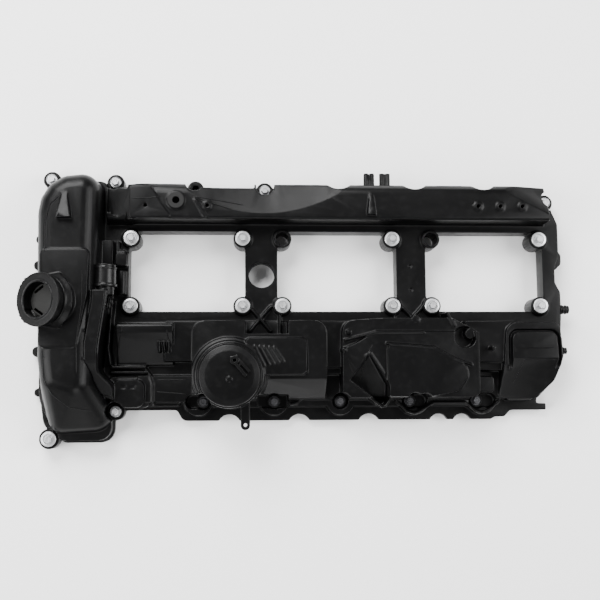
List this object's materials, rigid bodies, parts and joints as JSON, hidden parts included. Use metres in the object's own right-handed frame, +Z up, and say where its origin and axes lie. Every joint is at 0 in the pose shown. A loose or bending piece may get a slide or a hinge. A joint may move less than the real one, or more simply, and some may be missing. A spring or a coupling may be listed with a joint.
{
  "type": "cylinder head cover",
  "caption": "Black plastic cylinder head cover of an inline engine, with coil windows, tilted oil filler neck and built-in crankcase breather.",
  "frame": {"origin": "middle of the footprint, on the sealing plane that rests on the cylinder head", "axes": "+X along the crankshaft from the timing end to the flywheel end, +Y across the engine to the plain camshaft bulge, +Z up"},
  "size_m": [0.6608, 0.3355, 0.1092],
  "materials": {
    "cover_plastic": "black glass-filled nylon, satin with a fine moulded grain",
    "gloss_plastic": "black nylon, smooth and glossy",
    "inner_plastic": "black nylon, unpolished",
    "valve_plastic": "natural acetal",
    "silicone": "orange fluorosilicone",
    "seal_rubber": "black acrylate rubber, dull",
    "zinc_steel": "bright zinc plated",
    "dark_steel": "dark phosphated",
    "sleeve_steel": "plain zinc plated",
    "spring_steel": "drawn stainless wire",
    "fleece": "needled polyester fleece"
  },
  "bodies": {
    "cover": {"cover_housing": "cover_plastic", "breather_duct_shell": "cover_plastic", "breather_hose_collar": "gloss_plastic", "oil_filler_neck": "cover_plastic", "filler_splash_baffle": "inner_plastic", "pcv_cap": "cover_plastic", "pcv_vent_clip": "inner_plastic", "pcv_diaphragm": "seal_rubber", "pcv_spring": "spring_steel", "pcv_valve_seat": "valve_plastic", "separator_plate": "inner_plastic", "impactor_plate": "inner_plastic", "impactor_fleece": "fleece", "boost_check_seat": "valve_plastic", "vacuum_check_seat": "valve_plastic", "reservoir_plate": "inner_plastic", "vacuum_port_stubs": "cover_plastic", "perimeter_gasket": "seal_rubber", "double_window_gasket": "seal_rubber", "rear_window_gasket": "seal_rubber", "sensor_bore_seal": "seal_rubber", "window_screws": "zinc_steel", "window_screw_sleeves": "sleeve_steel", "window_screw_grommets": "seal_rubber", "corner_screw": "zinc_steel", "corner_screw_sleeve": "sleeve_steel", "corner_screw_grommet": "seal_rubber", "edge_screws": "zinc_steel", "edge_screw_sleeves": "sleeve_steel", "edge_screw_grommets": "seal_rubber", "pocket_screws": "dark_steel", "pocket_screw_sleeves": "sleeve_steel", "pocket_screw_grommets": "seal_rubber", "engine_cover_grommet": "seal_rubber"},
    "pcv_piston": {"pcv_piston": "valve_plastic"},
    "drain_flap": {"oil_drain_flap": "inner_plastic"},
    "boost_disc": {"boost_check_disc": "silicone"},
    "vacuum_disc": {"vacuum_check_disc": "silicone"}
  },
  "joints": [
    {"name": "pcv_lift", "type": "slide", "parent": "cover", "child": "pcv_piston", "axis": [0, 0, 1], "range_m": [-0.003, 0], "stiffness_N_per_m": 300, "springref_m": 0.006, "deforming": ["pcv_spring", "pcv_diaphragm"]},
    {"name": "drain_flap_swing", "type": "hinge", "parent": "cover", "child": "drain_flap", "pos_m": [0.038, -0.0498, 0.0196], "axis": [1, 0, 0], "range_deg": [0, 30]},
    {"name": "boost_check_lift", "type": "slide", "parent": "cover", "child": "boost_disc", "axis": [0, 0, 1], "range_m": [0, 0.002]},
    {"name": "vacuum_check_lift", "type": "slide", "parent": "cover", "child": "vacuum_disc", "axis": [0, 0, 1], "range_m": [0, 0.002]}
  ]
}
